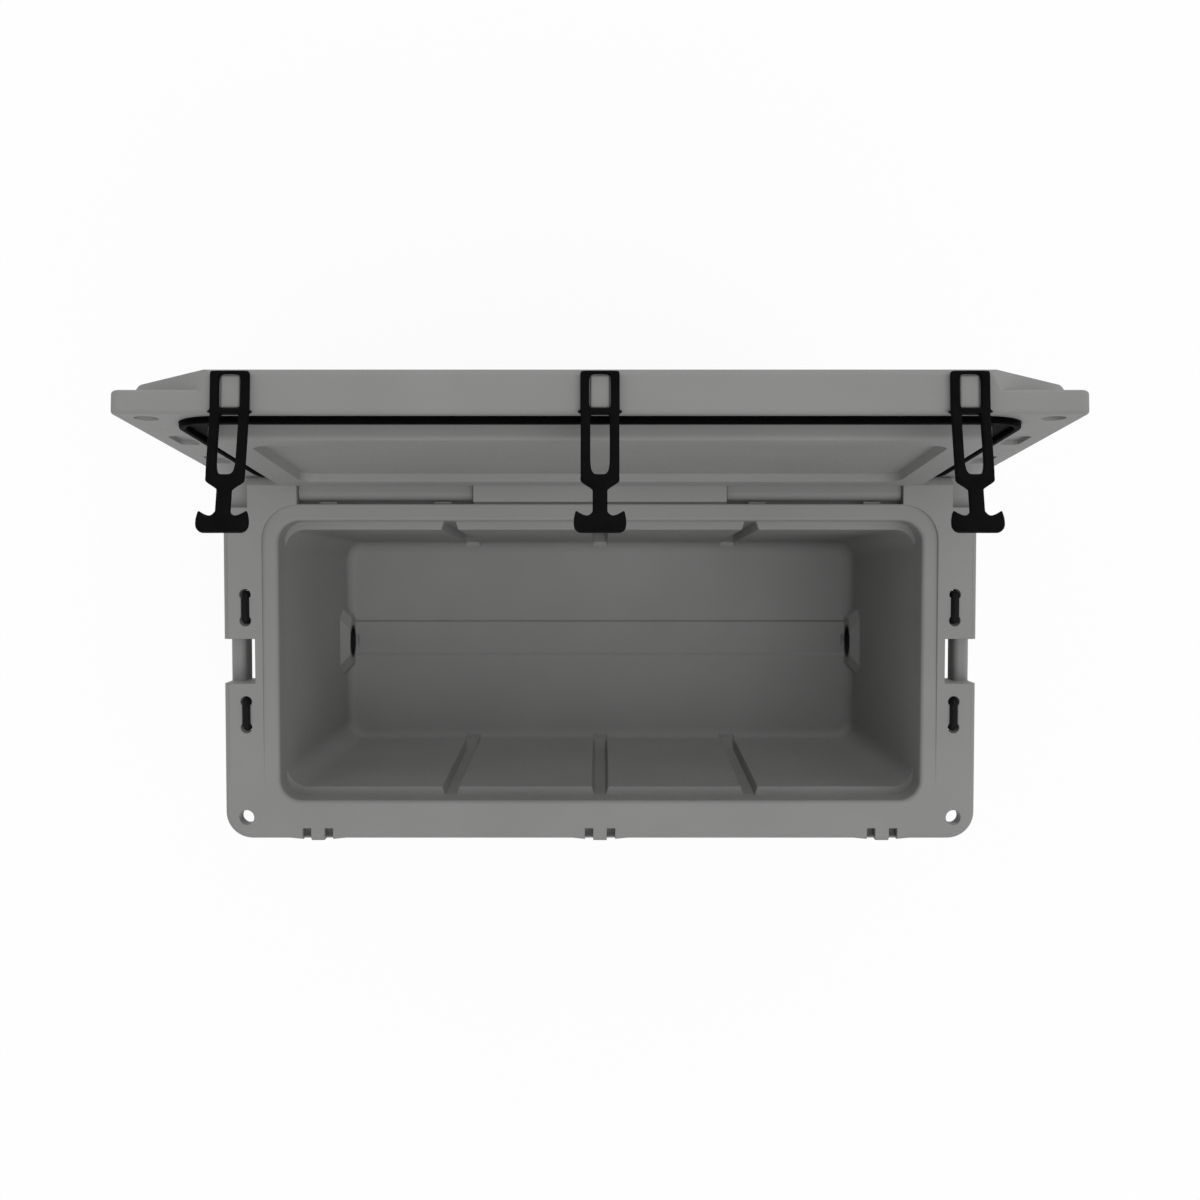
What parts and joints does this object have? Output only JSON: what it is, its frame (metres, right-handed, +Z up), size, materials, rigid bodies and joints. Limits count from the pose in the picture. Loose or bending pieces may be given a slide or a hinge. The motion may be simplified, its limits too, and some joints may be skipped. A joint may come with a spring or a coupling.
{
  "type": "ice chest",
  "caption": "Rotomoulded ice chest with a hinged insulated lid, rubber T latches, rope handles and screw drain plugs.",
  "frame": {"origin": "middle of the flat base, on the surface the chest stands on", "axes": "+X along the chest, +Y to the hinge side, +Z up; the lid is open at rest"},
  "size_m": [0.965, 0.5538, 0.9193],
  "materials": {
    "moulded_plastic": "matte",
    "foam": "matte",
    "rubber": "matte",
    "rope": "matte",
    "steel": "satin",
    "black_plastic": "satin"
  },
  "bodies": {
    "chest": {"body_shell": "moulded_plastic", "body_foam": "foam", "left_hinge_pin": "steel", "right_hinge_pin": "steel", "foot_screws": "steel", "left_drain_fitting": "black_plastic", "left_rope_saddles": "rope", "left_rope_stops": "black_plastic", "right_drain_fitting": "black_plastic", "right_rope_saddles": "rope", "right_rope_stops": "black_plastic", "front_left_foot": "rubber", "front_right_foot": "rubber", "back_left_foot": "rubber", "back_right_foot": "rubber"},
    "lid": {"lid_shell": "moulded_plastic", "lid_foam": "foam", "lid_gasket": "rubber", "left_latch_loop": "rubber", "middle_latch_loop": "rubber", "right_latch_loop": "rubber"},
    "left_latch": {"left_latch_strap": "rubber"},
    "middle_latch": {"middle_latch_strap": "rubber"},
    "right_latch": {"right_latch_strap": "rubber"},
    "left_rope_handle": {"left_rope_bail": "rope", "left_rope_grip": "black_plastic"},
    "left_washer": {"left_plug_washer": "rubber"},
    "left_plug": {"left_drain_plug": "black_plastic"},
    "right_rope_handle": {"right_rope_bail": "rope", "right_rope_grip": "black_plastic"},
    "right_washer": {"right_plug_washer": "rubber"},
    "right_plug": {"right_drain_plug": "black_plastic"}
  },
  "joints": [
    {"name": "lid_hinge", "type": "hinge", "parent": "chest", "child": "lid", "pos_m": [0, 0.214, 0.438], "axis": [1, 0, 0], "range_deg": [0, 95.7]},
    {"name": "left_latch_bend", "type": "hinge", "parent": "lid", "child": "left_latch", "pos_m": [-0.362, 0.28013, 0.88002], "axis": [-1, 0, 0], "range_deg": [-11, 90]},
    {"name": "middle_latch_bend", "type": "hinge", "parent": "lid", "child": "middle_latch", "pos_m": [0, 0.28013, 0.88002], "axis": [-1, 0, 0], "range_deg": [-11, 90]},
    {"name": "right_latch_bend", "type": "hinge", "parent": "lid", "child": "right_latch", "pos_m": [0.362, 0.28013, 0.88002], "axis": [-1, 0, 0], "range_deg": [-11, 90]},
    {"name": "left_rope_swing", "type": "hinge", "parent": "chest", "child": "left_rope_handle", "pos_m": [-0.452, 0, 0.424], "axis": [0, 1, 0], "range_deg": [0, 85]},
    {"name": "left_plug_travel", "type": "slide", "parent": "chest", "child": "left_washer", "axis": [-1, 0, 0], "range_m": [0, 0.014]},
    {"name": "left_plug_turn", "type": "hinge", "parent": "left_washer", "child": "left_plug", "pos_m": [-0.41, 0, 0.078], "axis": [-1, 0, 0], "range_deg": [0, 1440]},
    {"name": "right_rope_swing", "type": "hinge", "parent": "chest", "child": "right_rope_handle", "pos_m": [0.452, 0, 0.424], "axis": [0, -1, 0], "range_deg": [0, 85]},
    {"name": "right_plug_travel", "type": "slide", "parent": "chest", "child": "right_washer", "axis": [1, 0, 0], "range_m": [0, 0.014]},
    {"name": "right_plug_turn", "type": "hinge", "parent": "right_washer", "child": "right_plug", "pos_m": [0.41, 0, 0.078], "axis": [1, 0, 0], "range_deg": [0, 1440]}
  ],
  "couplings": [
    {"joint": "left_plug_travel", "follows": "left_plug_turn", "m_per_rad": 0.00055704},
    {"joint": "right_plug_travel", "follows": "right_plug_turn", "m_per_rad": 0.00055704}
  ]
}
